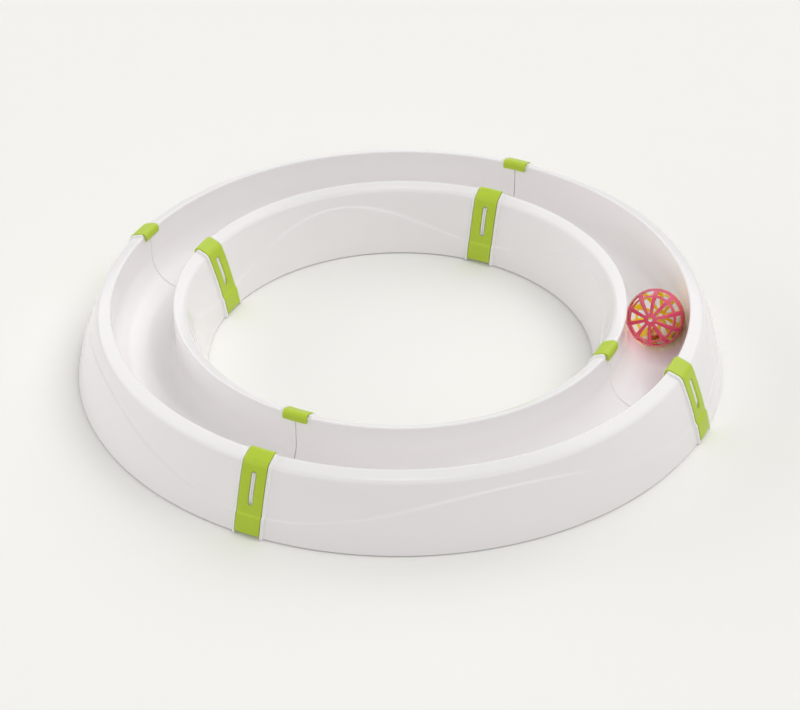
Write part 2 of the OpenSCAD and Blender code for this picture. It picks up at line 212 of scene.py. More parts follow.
def makeTrackWhite():
    # Injection-moulded white polypropylene from a polished mould: an even gloss with sharp highlights, a
    # colour drift too slow to see as patches, and a slightly duller lane where the ball runs.
    w = whiteSkin
    material, tree, place, drift, tint = startSkin(
        "whiteMouldedPolypropylene", "white", w["driftSize"], detail=1, blur=0.4)
    gloss = addNode(tree, "ShaderNodeMapRange", [drift, noiseLow, noiseHigh, w["roughLow"], w["roughHigh"]])
    # the lane: about 8 mm wide on the channel floor, at the ring's running radius
    flat = addNode(tree, "ShaderNodeVectorMath", [place, (1, 1, 0)], operation="MULTIPLY")
    ringRadius = addNode(tree, "ShaderNodeVectorMath", [flat], operation="LENGTH").outputs["Value"]
    offLane = addNode(tree, "ShaderNodeMath", [ringRadius, ring["channelR"] * mm], operation="SUBTRACT")
    nearLane = addNode(tree, "ShaderNodeMath", [offLane], operation="ABSOLUTE")
    lane = addNode(tree, "ShaderNodeMapRange", [
        nearLane, w["laneFull"] * mm, w["laneEnd"] * mm, w["laneRough"], 0.0], interpolation_type="SMOOTHSTEP")
    height = addNode(tree, "ShaderNodeSeparateXYZ", [place]).outputs["Z"]
    low = addNode(tree, "ShaderNodeMapRange", [height, w["laneLow"] * mm, w["laneHigh"] * mm, 1.0, 0.0])
    rub = addNode(tree, "ShaderNodeMath", [lane, low], operation="MULTIPLY")
    rough = addNode(tree, "ShaderNodeMath", [gloss, rub], operation="ADD")
    # mould ripple, which bends a highlight's edge by a hair
    ripple = addNode(tree, "ShaderNodeTexNoise", {
        "Vector": place, "Scale": 1 / (w["rippleSize"] * mm), "Detail": 0})
    bump = addNode(tree, "ShaderNodeBump", {
        "Height": ripple, "Strength": w["rippleStrength"], "Distance": w["rippleDepth"] * mm})
    skin = addNode(tree, "ShaderNodeBsdfPrincipled", {
        "Base Color": tint, "Roughness": rough, "IOR": w["ior"], "Normal": bump})
    addNode(tree, "ShaderNodeOutputMaterial", [skin])
    return material


def makeColouredPlastic(name, finish, rough, ior, peelSize, peelDepth, glow=0.0):
    # Coloured moulded plastic: a shade deeper along faint flow marks, over the fine texture of its mould.
    # The glow lifts the shaded side of thin walls, a little less in blue.
    flowSize, glowDepth, unevenness, peelStrength = 16.667, 6, 0.02, 0.3
    material, tree, place, flow, tint = startSkin(name, finish, flowSize, detail=2, blur=0.5)
    gloss = addNode(tree, "ShaderNodeMapRange", [
        flow, noiseLow, noiseHigh, rough - unevenness, rough + unevenness])
    peel = addNode(tree, "ShaderNodeTexNoise", {"Vector": place, "Scale": 1 / (peelSize * mm), "Detail": 1})
    bump = addNode(tree, "ShaderNodeBump", {
        "Height": peel, "Strength": peelStrength, "Distance": peelDepth * mm})
    skin = addNode(tree, "ShaderNodeBsdfPrincipled", {
        "Base Color": tint, "Roughness": gloss, "IOR": ior, "Normal": bump, "Subsurface Weight": glow,
        "Subsurface Radius": (1.0, 1.0, 0.5), "Subsurface Scale": glowDepth * mm})
    addNode(tree, "ShaderNodeOutputMaterial", [skin])
    return material


def makeMetal(name, finish, rough):
    # Pressed and plated metal: fine rubbing marks that spread the highlight, darker where it tarnishes.
    rubSize, duller, brighter = 2, 0.1, 0.05
    material, tree, place, tarnish, tint = startSkin(name, finish, rubSize, detail=4, blur=0.6)
    gloss = addNode(tree, "ShaderNodeMapRange", [
        tarnish, noiseLow, noiseHigh, rough + duller, rough - brighter])
    skin = addNode(tree, "ShaderNodeBsdfPrincipled", {"Base Color": tint, "Roughness": gloss, "Metallic": 1.0})
    addNode(tree, "ShaderNodeOutputMaterial", [skin])
    return material


trackWhite = makeTrackWhite()
clipGreen, ballPink, ballYellow, footRubber = (
    makeColouredPlastic(name, **values) for name, values in plastics.items())
bellBrass = makeMetal("pressedBrassSheet", "brass", rough=0.25)
pelletSteel = makeMetal("rolledSteelPellet", "steel", rough=0.3)
print("materials made")


def heading(angle):
    return Vector((math.cos(angle), math.sin(angle)))


def makeSide(sign, topWidth, footWidth):  # sign 1 is the outer side, -1 the inner one
    top, foot = Vector((topWidth, ring["topZ"])), Vector((footWidth, ring["footZ"]))
    chord = foot - top
    radius = chord.length_squared / (8 * ring["bulge"]) + ring["bulge"] / 2
    across = Vector((-chord.y, chord.x)).normalized()
    centre = (top + foot) / 2 - (radius - ring["bulge"]) * across
    topAngle = math.atan2(*(top - centre).yx)
    bead = Vector((ring["beadR"], ring["rimHeight"] - ring["beadR"]))
    shoulder = top - ring["shoulderR"] * heading(topAngle)
    link = shoulder - bead
    lean = math.atan2(link.y, link.x) + math.acos((ring["beadR"] - ring["shoulderR"]) / link.length)
    return {
        "sign": sign, "radius": radius, "centre": centre, "topAngle": topAngle, "bead": bead,
        "shoulder": shoulder, "lean": lean, "wallR": ring["channelR"] + sign * ring["channelHalf"],
    }


outerSide = makeSide(1, ring["outerTopWidth"], ring["outerFootWidth"])
innerSide = makeSide(-1, ring["innerTopWidth"], ring["innerFootWidth"])
farAway = 100.0  # a distance along the skirt that no rib reaches


def skirtAngle(side, z, out=0):
    return math.asin((z - side["centre"].y) / (side["radius"] + out))


# a row of a side's surface is its arc's centre and radius, the angle there, and the way down from the slot
def skirtRow(side, angle, slotAngle):
    return side["centre"], side["radius"], angle, side["radius"] * (slotAngle - angle)


def rimRows(side, beadStart, beadSteps, shoulderSteps):
    rows = [(side["bead"], ring["beadR"], angle, -farAway)
            for angle in spread(beadStart, side["lean"], beadSteps)]
    rows += [(side["shoulder"], ring["shoulderR"], angle, -farAway)
             for angle in spread(side["lean"], side["topAngle"], shoulderSteps)]
    return rows


def placeRow(row, out):
    return row[0] + (row[1] + out) * heading(row[2])


# track sections: one Geometry Nodes tree sweeps the cross-section and raises what stands on it
track = {
    "waveHeight": 0.6, "waveLow": 14, "waveHigh": 37, "waveSoft": 1.6,
    "borderFrom": 8.65, "borderTo": 10.85, "borderHeight": 1.4,
    "stepZ": 15.5, "stepRamp": 2.4, "stepRise": 0.9,
    "slotZ": 30.5, "ribHalf": 1.3, "ribHeight": 1.1, "ribReach": 10.2, "ribRamp": 4.4, "edgeWidth": 0.2,
    "webs": 4, "webThickness": 2, "webClear": 0.03, "bays": 3,
    "bossR": 6.9, "bossTop": 6.5, "bossEdge": 0.3, "socketR": 5.1, "socketTop": 3.5, "socketEdge": 0.4,
    "footEdge": 0.35, "footSlope": 0.7, "levelBelow": 12, "endRound": 0.35,
    "bareFrom": 125, "bareFade": 45,  # degrees round the bead, whose channel side stays bare
    "beadSteps": 9, "shoulderSteps": 9, "skirtSteps": 100, "channelSteps": 44, "hollowSteps": 30,
    "bossSteps": 48, "alongSteps": 64, "ribRowGap": 0.12,
    "plainOffsets": (0.75, 2.4, 4, 6, 7.6, 8.9, 9.4, 9.9, 11.9, 12.8),
    "mergeAt": 0.004, "smoothUpTo": 30,
}
partNumbers = {"shell": 0, "web": 1, "line": 2, "boss": 3}


def skinRows(side):  # from inside the channel over the rim and down to the foot
    t = track
    slotAngle, lastAngle = skirtAngle(side, t["slotZ"]), skirtAngle(side, ring["footZ"] + t["footEdge"])
    angles = spread(side["topAngle"], lastAngle, t["skirtSteps"])[1:]
    reach = t["ribReach"]
    for way in (-reach - t["ribRowGap"], -reach, reach - t["ribRamp"], reach):  # where the half ribs turn
        angles.append(slotAngle - way / side["radius"])
    rows = rimRows(side, math.pi, t["beadSteps"], t["shoulderSteps"])
    return rows + [skirtRow(side, angle, slotAngle) for angle in sorted(angles, reverse=True)]


def hollowPoints(side, depth, shoulderSteps=5, skirtSteps=10):  # a side's underside, from top to foot
    lean, topAngle = side["lean"], side["topAngle"]
    lastAngle = skirtAngle(side, ring["footZ"] + track["footEdge"], -depth)
    underBead = side["bead"].dot(heading(lean)) + ring["beadR"] - depth
    points = [Vector((depth, (underBead - depth * math.cos(lean)) / math.sin(lean)))]
    points += [side["shoulder"] + (ring["shoulderR"] - depth) * heading(angle)
               for angle in spread(lean, topAngle, shoulderSteps)]
    points += [side["centre"] + (side["radius"] - depth) * heading(angle)
               for angle in spread(topAngle, lastAngle, skirtSteps)[1:]]
    return points


def shellLoop():  # closed loop of (ring radius, height, way along, normal out, normal up, relief share)
    t = track
    footRound = t["footEdge"] * t["footSlope"]

    def outward(side):
        sign, found = side["sign"], []
        for row in skinRows(side):
            point, turn, share = placeRow(row, 0), heading(row[2]), 1.0
            if row[1] == ring["beadR"]:
                share = (math.radians(t["bareFrom"]) - row[2]) / math.radians(t["bareFade"])
                share = max(0.0, min(1.0, share))
            if point.y < t["levelBelow"]:  # low rows move level, so that the border comes down to the foot
                turn = Vector((1 / turn.x, 0))
            found.append((side["wallR"] + sign * point.x, point.y, row[3], sign * turn.x, turn.y, share))
        last = found[-1]
        return found + [(last[0] - sign * footRound, ring["footZ"], farAway, last[3], 0.0, 1.0)]

    def underside(side):
        points = [(side["wallR"] + side["sign"] * p.x, p.y) for p in hollowPoints(side, ring["wall"])]
        points.append((points[-1][0] + side["sign"] * footRound, ring["footZ"]))
        return [(*point, farAway, 0.0, 0.0, 0.0) for point in points]

    def channel(radius, steps, facing):
        return [(ring["channelR"] + radius * math.cos(turn), ring["channelZ"] + radius * math.sin(turn),
                 farAway, -math.cos(turn) * facing, -math.sin(turn) * facing, 0.0)
                for turn in spread(0, -math.pi, steps)]

    skin = outward(outerSide)[::-1] + channel(ring["channelHalf"], t["channelSteps"], 1) + outward(innerSide)
    under = channel(ring["channelHalf"] + ring["wall"], t["hollowSteps"], 0)[::-1]
    return skin + underside(innerSide)[::-1] + under + underside(outerSide)


def webLoop():  # the web's outline reaches half way into the walls that it joins
    depth = ring["wall"] / 2
    outer = [(outerSide["wallR"] + p.x, p.y) for p in hollowPoints(outerSide, depth)]
    inner = [(innerSide["wallR"] - p.x, p.y) for p in hollowPoints(innerSide, depth)]
    lowZ = ring["footZ"] + track["webClear"]
    radius = ring["channelHalf"] + depth
    under = [(ring["channelR"] + radius * math.cos(turn), ring["channelZ"] + radius * math.sin(turn))
             for turn in spread(0, -math.pi, track["hollowSteps"])]
    return [(outer[-1][0], lowZ)] + outer[::-1] + under + inner + [(inner[-1][0], lowZ)]


def stationOffsets():  # distances off the joint plane, close together where the relief has edges
    t = track
    edge = t["edgeWidth"] / 2
    offsets = spread(ring["seamHalf"], ring["seamHalf"] + t["endRound"], 4)
    offsets += [t["ribHalf"] - edge, t["ribHalf"] + edge, t["borderFrom"] - edge, t["borderFrom"]]
    offsets += spread(t["borderTo"] - 6.5 * edge, t["borderTo"] + 4.5 * edge, 9)  # just past the border's fall
    return sorted(offsets + list(t["plainOffsets"]))


def sectionParts():  # one mesh of numbered parts: the loops, the line of stations and the socket's boss
    t = track
    verts, edges, faces, numbers, blank = [], [], [], [], (0.0, 0.0, 0.0)
    notes = {"shape": [], "lean": [], "station": []}

    def add(kind, points, edgeCount, **given):
        start, count = len(verts), len(points)
        verts.extend(points)
        edges.extend((start + i, start + (i + 1) % count) for i in range(edgeCount))
        numbers.extend([partNumbers[kind]] * count)
        for name, values in notes.items():
            values.extend(given.get(name, [blank] * count))
        return start

    shell = shellLoop()
    add("shell", [(p[0] * mm, 0, p[1] * mm) for p in shell], len(shell),
        shape=[(p[0] * mm, p[1] * mm, p[2] * mm) for p in shell], lean=[p[3:] for p in shell])
    web = webLoop()
    add("web", [(x * mm, 0, z * mm) for x, z in web], len(web), shape=[(x * mm, z * mm, 0.0) for x, z in web])
    near = [y * mm for y in stationOffsets()]
    stations = [(y, 0.0, 0.0) for y in near]
    stations += [(near[-1], share, 0.0) for share in spread(0.0, 1.0, t["alongSteps"])[1:-1]]
    stations += [(y, 1.0, 0.0) for y in near[::-1]]
    add("line", [(0, i * mm, 0) for i in range(len(stations))], len(stations) - 1, station=stations)
    footZ = ring["footZ"]
    boss = [(0, t["socketTop"]), (t["socketR"], t["socketTop"]), (t["socketR"], footZ + t["socketEdge"]),
            (t["socketR"] + t["socketEdge"], footZ), (t["bossR"] - t["bossEdge"], footZ),
            (t["bossR"], footZ + t["bossEdge"]), (t["bossR"], t["bossTop"]), (0, t["bossTop"])]
    bossVerts, bossFaces = latheMesh(boss, t["bossSteps"])
    start = add("boss", bossVerts, 0)
    faces += [[start + i for i in f] for f in bossFaces]
    mesh = bpy.data.meshes.new("sectionParts")
    mesh.from_pydata(verts, edges, faces)
    mesh.attributes.new("part", "INT", "POINT").data.foreach_set("value", numbers)
    for name, values in notes.items():
        flat = [v for triple in values for v in triple]
        mesh.attributes.new(name, "FLOAT_VECTOR", "POINT").data.foreach_set("vector", flat)
    return mesh


def startTree(name, sizes):  # a Geometry Nodes tree with one float input for each named size
    tree = bpy.data.node_groups.new(name, "GeometryNodeTree")
    tree.interface.new_socket("Geometry", in_out="INPUT", socket_type="NodeSocketGeometry")
    for size in sizes:
        tree.interface.new_socket(size, in_out="INPUT", socket_type="NodeSocketFloat")
    tree.interface.new_socket("Material", in_out="INPUT", socket_type="NodeSocketMaterial")
    tree.interface.new_socket("Geometry", in_out="OUTPUT", socket_type="NodeSocketGeometry")
    return tree, addNode(tree, "NodeGroupInput").outputs


def runTree(thing, tree, values):  # sets the inputs by their sockets' identifiers
    modifier = thing.modifiers.new(tree.name, "NODES")
    modifier.node_group = tree
    for item in tree.interface.items_tree:
        if item.in_out == "INPUT" and item.name in values:
            modifier[item.identifier] = values[item.name]


def turnRows(name, radius):  # parallel to the joint planes near both ends, evenly round between them
    return [("ratio", "DIVIDE", "off", radius), ("first", "ARCSINE", "ratio"),
            ("span", "MULTIPLY_ADD", "first", -2.0, quarter), (name, "MULTIPLY_ADD", "span", "along", "first")]


# what the section's tree works out, in turn: a name, a rule, and what goes in by name or as a number
sectionSums = [
    # where a point lies: its turn round the ring, its distance off the joint and its height under the wave
    *turnRows("turn", "radius"),
    ("toOther", "SUBTRACT", quarter, "turn"),
    ("fromEnd", "MINIMUM", "turn", "toOther"),
    ("sine", "SINE", "fromEnd"),
    ("offJoint", "MULTIPLY", "radius", "sine"),
    ("waveTurn", "MULTIPLY", "turn", 4.0),
    ("waveShare", "COSINE", "waveTurn"),
    ("waveZ", "MULTIPLY_ADD", "waveShare", "Wave swing", "Wave middle"),
    ("below", "SUBTRACT", "waveZ", "height"),
    # what stands on the skin: each share runs from one value to another over a stretch of one of these
    ("wave", "SMOOTHSTEP", "below", "Wave start", "Wave full", 0.0, "Wave height"),
    ("waveEnd", "LINEAR", "offJoint", "Border full", "Wave free", 0.0, 1.0),
    ("rise", "LINEAR", "offJoint", "Border start", "Border full", 0.0, 1.0),
    ("fall", "SMOOTHSTEP", "offJoint", "Border edge", "Border end", 1.0, 0.0),
    ("border", "SMOOTHSTEP", "height", "Step start", "Step full", "Border height", "Border low height"),
    ("rib", "LINEAR", "offJoint", "Rib edge", "Rib side", "Rib height", 0.0),
    ("ribTop", "LINEAR", "way", "Rib top edge", "Rib top", 0.0, 1.0),
    ("ribFoot", "LINEAR", "way", "Rib ramp", "Rib foot", 1.0, 0.0),
    ("round", "SMOOTHERSTEP", "offJoint", "Seam edge", "Seam full", "Seam round", 0.0),
    ("wave", "MULTIPLY", "wave", "waveEnd"),
    ("border", "MULTIPLY", "border", "rise"),
    ("border", "MULTIPLY", "border", "fall"),
    ("rib", "MULTIPLY", "rib", "ribTop"),
    ("rib", "MULTIPLY", "rib", "ribFoot"),
    ("relief", "MAXIMUM", "wave", "border"),
    ("relief", "MAXIMUM", "relief", "rib"),
    ("relief", "MULTIPLY_ADD", "relief", "share", "round"),
    ("newRadius", "MULTIPLY_ADD", "leanOut", "relief", "radius"),
    ("newHeight", "MULTIPLY_ADD", "leanUp", "relief", "height"),
    *turnRows("newTurn", "newRadius"),
    # the webs' places, from one joint plane to the other, and the sockets', in the middle of each bay
    ("slabShare", "SUBTRACT", "along", 0.5),
    ("slabY", "MULTIPLY", "slabShare", "Web thickness"),
    ("lastWeb", "ADD", "Webs", -1.0),
    ("webShare", "DIVIDE", "index", "lastWeb"),
    ("webTurn", "MULTIPLY", "webShare", quarter),
    ("halves", "MULTIPLY_ADD", "webShare", -2.0, 1.0),
    ("webOff", "MULTIPLY", "halves", "Web inset"),
    ("lastBay", "ADD", "Bays", -1.0),
    ("midBay", "MULTIPLY_ADD", "lastBay", -0.5, "index"),
    ("bossTurn", "MULTIPLY_ADD", "midBay", "Bay angle", quarter / 2),
]
sectionNotes = {"shape": ("radius", "height", "way"), "lean": ("leanOut", "leanUp", "share"),
                "station": ("off", "along")}


def makeSectionTree(sizes):
    tree, given = startTree("trackSection", sizes)
    known = {size: given[size] for size in sizes}
    known["index"] = addNode(tree, "GeometryNodeInputIndex")
    for name, axes in sectionNotes.items():
        note = addNode(tree, "GeometryNodeInputNamedAttribute", {"Name": name}, data_type="FLOAT_VECTOR")
        known.update(zip(axes, addNode(tree, "ShaderNodeSeparateXYZ", [note]).outputs))
    for name, rule, *feeds in sectionSums:
        feeds = [known[feed] if isinstance(feed, str) else feed for feed in feeds]
        if rule in ("LINEAR", "SMOOTHSTEP", "SMOOTHERSTEP"):
            known[name] = addNode(tree, "ShaderNodeMapRange", feeds, interpolation_type=rule)
        else:
            known[name] = addNode(tree, "ShaderNodeMath", feeds, operation=rule)

    def partOf(kind):  # the points that carry this part's number
        number = addNode(tree, "GeometryNodeInputNamedAttribute", {"Name": "part"}, data_type="INT")
        chosen = addNode(tree, "FunctionNodeCompare", {2: number, 3: partNumbers[kind]},
                         data_type="INT", operation="EQUAL")
        return addNode(tree, "GeometryNodeSeparateGeometry", [given["Geometry"], chosen], domain="POINT")

    def without(geometry, *names):
        for name in names:
            geometry = addNode(tree, "GeometryNodeRemoveAttribute", {"Geometry": geometry, "Name": name})
        return geometry

    def turned(vector, angle):  # a place turned about the ring's axis, and the turn itself
        around = addNode(tree, "ShaderNodeCombineXYZ", {2: angle})
        return addNode(tree, "ShaderNodeVectorRotate", {
            "Vector": addNode(tree, "ShaderNodeCombineXYZ", vector), "Rotation": around},
            rotation_type="EULER_XYZ"), around

    # the sweep: every point of the shell's loop at every station, moved to its place
    line = addNode(tree, "GeometryNodeMeshToCurve", [without(partOf("line"), "shape", "lean")])
    loop = addNode(tree, "GeometryNodeMeshToCurve", [without(partOf("shell"), "station")])
    sweep = addNode(tree, "GeometryNodeCurveToMesh", {"Curve": line, "Profile Curve": loop, "Fill Caps": True})
    place, _ = turned([known["newRadius"], 0.0, known["newHeight"]], known["newTurn"])
    shell = addNode(tree, "GeometryNodeSetPosition", {"Geometry": sweep, "Position": place})

    # upright webs: one slab, set at even turns
    across = addNode(tree, "GeometryNodeCurvePrimitiveLine", {"Start": (0, 0, 0), "End": (0, 1, 0)})
    side = addNode(tree, "GeometryNodeStoreNamedAttribute", {
        "Geometry": across, "Name": "station", "Value": addNode(tree, "GeometryNodeInputPosition")},
        data_type="FLOAT_VECTOR")
    web = addNode(tree, "GeometryNodeMeshToCurve", [without(partOf("web"), "station")])
    slab = addNode(tree, "GeometryNodeCurveToMesh", {"Curve": side, "Profile Curve": web, "Fill Caps": True})
    slabPlace = addNode(tree, "ShaderNodeCombineXYZ", [known["radius"], known["slabY"], known["height"]])
    slab = addNode(tree, "GeometryNodeSetPosition", {"Geometry": slab, "Position": slabPlace})
    webAt, webAround = turned({1: known["webOff"]}, known["webTurn"])
    webSpots = addNode(tree, "GeometryNodePoints", {"Count": given["Webs"], "Position": webAt})
    webs = addNode(tree, "GeometryNodeInstanceOnPoints", {
        "Points": webSpots, "Instance": slab, "Rotation": webAround})

    # sockets for the foot pads
    bossAt, _ = turned([given["Pad ring"]], known["bossTurn"])
    bossSpots = addNode(tree, "GeometryNodePoints", {"Count": given["Bays"], "Position": bossAt})
    bosses = addNode(tree, "GeometryNodeInstanceOnPoints", {"Points": bossSpots, "Instance": partOf("boss")})

    joined = addNode(tree, "GeometryNodeJoinGeometry")
    for piece in (shell, webs, bosses):
        tree.links.new(piece.outputs[0], joined.inputs[0])
    whole = addNode(tree, "GeometryNodeTransform", {
        "Geometry": joined, "Rotation": addNode(tree, "ShaderNodeCombineXYZ", {2: given["Azimuth"]})})
    real = addNode(tree, "GeometryNodeRealizeInstances", [whole])
    clean = without(real, "part", "shape", "lean", "station")
    painted = addNode(tree, "GeometryNodeSetMaterial", {"Geometry": clean, "Material": given["Material"]})
    addNode(tree, "NodeGroupOutput", [painted])
    return tree


def boxMiddle(node):
    low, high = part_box(node)
    return (low + high) / 2


def makeSections():
    t = track
    first, second = boxMiddle("foot_back_right_1"), boxMiddle("foot_back_right_2")
    fade = t["edgeWidth"]
    sizes = {
        "Wave height": t["waveHeight"], "Wave middle": (t["waveLow"] + t["waveHigh"]) / 2,
        "Wave swing": (t["waveLow"] - t["waveHigh"]) / 2, "Wave start": -t["waveSoft"] / 2,
        "Wave full": t["waveSoft"] / 2, "Wave free": t["borderFrom"] + 4 * fade,
        "Border start": t["borderFrom"], "Border full": t["borderFrom"] + fade,
        "Border edge": t["borderTo"] - 3 * fade, "Border end": t["borderTo"] + 2 * fade,
        "Border height": t["borderHeight"], "Border low height": t["borderHeight"] + t["stepRise"],
        "Seam edge": ring["seamHalf"] - t["endRound"], "Seam full": ring["seamHalf"] + t["endRound"],
        "Seam round": -2 * t["endRound"], "Step start": t["stepZ"], "Step full": t["stepZ"] - t["stepRamp"],
        "Rib height": t["ribHeight"], "Rib edge": t["ribHalf"] - fade / 2, "Rib side": t["ribHalf"] + fade / 2,
        "Rib top edge": -t["ribReach"] - fade / 2, "Rib top": -t["ribReach"],
        "Rib ramp": t["ribReach"] - t["ribRamp"], "Rib foot": t["ribReach"],
        "Web thickness": t["webThickness"],
        "Web inset": t["webThickness"] / 2 + ring["seamHalf"] + t["webClear"],
    }
    values = {name: size * mm for name, size in sizes.items()}
    values.update({"Pad ring": second.to_2d().length, "Webs": float(t["webs"]), "Bays": float(t["bays"]),
                   "Bay angle": math.atan2(second.y, second.x) - math.atan2(first.y, first.x)})
    tree = makeSectionTree(["Azimuth"] + list(values))
    parts = sectionParts()
    for turns, name in enumerate(("back_right", "back_left", "front_left", "front_right")):
        thing = showObject("trackSection_" + name, parts.copy())
        runTree(thing, tree, {**values, "Azimuth": turns * quarter, "Material": trackWhite})
        mesh = bakeModifiers(thing, trackWhite)
        tidyMesh(mesh, t["mergeAt"])
        smoothShade(mesh, t["smoothUpTo"])
        finishPiece(thing, "track", "track_white", "section_" + name)
    bpy.data.meshes.remove(parts)


makeSections()
print("track sections made")

# foot pads: one rubber disc, placed by a Geometry Nodes tree in each socket
pad = {
    "radius": 5, "height": 3.4, "edge": 0.45, "edgeRound": 0.12, "edgeRise": 0.135, "topEdge": 0.15,
    "dish": 0.25, "dishR": 3.4, "dishEdge": 0.3, "lift": 0, "steps": 48, "smoothUpTo": 32,
}


def makePadTree():
    tree, given = startTree("footPads", ["Lift"])
    isSpot = addNode(tree, "GeometryNodeInputNamedAttribute", {"Name": "spot"}, data_type="INT")
    split = addNode(tree, "GeometryNodeSeparateGeometry", [given["Geometry"], isSpot], domain="POINT").outputs
    disc = addNode(tree, "GeometryNodeTransform", {
        "Geometry": split[1], "Translation": addNode(tree, "ShaderNodeCombineXYZ", {2: given["Lift"]})})
    discs = addNode(tree, "GeometryNodeInstanceOnPoints", {"Points": split[0], "Instance": disc})
    real = addNode(tree, "GeometryNodeRealizeInstances", [discs])
    painted = addNode(tree, "GeometryNodeSetMaterial", {"Geometry": real, "Material": given["Material"]})
    addNode(tree, "NodeGroupOutput", [painted])
    return tree


def makePads():
    p = pad
    names = [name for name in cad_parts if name.startswith("foot_")]
    outline = [(0, p["dish"]), (p["dishR"], p["dish"]), (p["dishR"] + p["dishEdge"], 0),
               (p["radius"] - p["edge"], 0), (p["radius"] - p["edgeRound"], p["edgeRise"]),
               (p["radius"], p["edge"]), (p["radius"], p["height"] - p["topEdge"]),
               (p["radius"] - p["topEdge"], p["height"]), (0, p["height"])]
    disc = meshFrom("padDisc", *latheMesh(outline, p["steps"]))
    tidyMesh(disc)
    spots = [boxMiddle(name).to_2d().to_3d() for name in sorted(names)]
    base = meshFrom("padSpots", spots + [v.co for v in disc.vertices],
                    [[len(spots) + i for i in f.vertices] for f in disc.polygons])
    base.attributes.new("spot", "INT", "POINT").data.foreach_set(
        "value", [1] * len(spots) + [0] * len(disc.vertices))
    thing = showObject("footPads", base)
    runTree(thing, makePadTree(), {"Lift": p["lift"] * mm, "Material": footRubber})
    mesh = bakeModifiers(thing, footRubber)
    tidyMesh(mesh)
    smoothShade(mesh, p["smoothUpTo"])
    finishPiece(thing, "track", "foot_rubber", *names)
    bpy.data.meshes.remove(disc)


makePads()
print("foot pads made")

# clips: a hook over the rim and a slotted leg down the skirt, in rows that follow the side's surface
clip = {
    "width": 16.8, "thickness": 1.5, "gap": 0.25, "step": 0.9, "stepZ": 15.5, "stepRamp": 2.5, "endZ": 2.1,
    "hookDrop": 2.6, "slotLength": 22, "slotWidth": 3.4, "slotBevel": 0.7, "legStart": 0.5,
    "columns": 6, "hookSteps": 4, "bendSteps": 8, "slotEndSteps": 6, "slotSteps": 8,
    "legSteps": 3, "rampSteps": 5, "footSteps": 5,
    "edge": 0.5, "edgeSteps": 3, "sharpFrom": 50, "mergeAt": 0.002, "smoothUpTo": 40,
}


def clipRows(side):  # surface row, extra thickness, and the slot as (end, angle), "side" or None
    c = clip
    slotAngle = skirtAngle(side, track["slotZ"])
    beadZ = ring["rimHeight"] - ring["beadR"]
    rows = [((Vector((ring["beadR"], z)), ring["beadR"], math.pi, -farAway), 0.0, None)
            for z in spread(beadZ - c["hookDrop"], beadZ, c["hookSteps"])[:-1]]  # down inside the channel
    rows += [(row, 0.0, None) for row in rimRows(side, math.pi, c["bendSteps"], c["bendSteps"])]
    legTop, stepStart, legEnd = (side["radius"] * (slotAngle - skirtAngle(side, z))
                                 for z in (ring["topZ"], c["stepZ"], c["endZ"]))
    half = (c["slotLength"] - c["slotWidth"]) / 2
    slotEnd = c["slotLength"] / 2 + c["slotBevel"]
    stepEnd = stepStart + c["stepRamp"]
    marks = [(legTop + c["legStart"], 0.0, None)]
    marks += [(None, 0.0, (-1, angle)) for angle in spread(quarter, 0.0, c["slotEndSteps"])]
    marks += [(way, 0.0, "side") for way in spread(-half, half, c["slotSteps"])[1:-1]]
    marks += [(None, 0.0, (1, angle)) for angle in spread(0.0, quarter, c["slotEndSteps"])]
    marks += [(way, 0.0, None) for way in spread(slotEnd, stepStart, c["legSteps"])[1:]]
    marks += [(stepStart + c["stepRamp"] * share, c["step"] * share * share * (3 - 2 * share), None)
              for share in spread(0.0, 1.0, c["rampSteps"])[1:]]  # the leg steps out softly
    marks += [(way, c["step"], None) for way in spread(stepEnd, legEnd, c["footSteps"])[1:]]
    for way, extra, slot in marks:
        row = None if way is None else skirtRow(side, slotAngle - way / side["radius"], slotAngle)
        rows.append((row, extra, slot))
    return rows, slotAngle, half


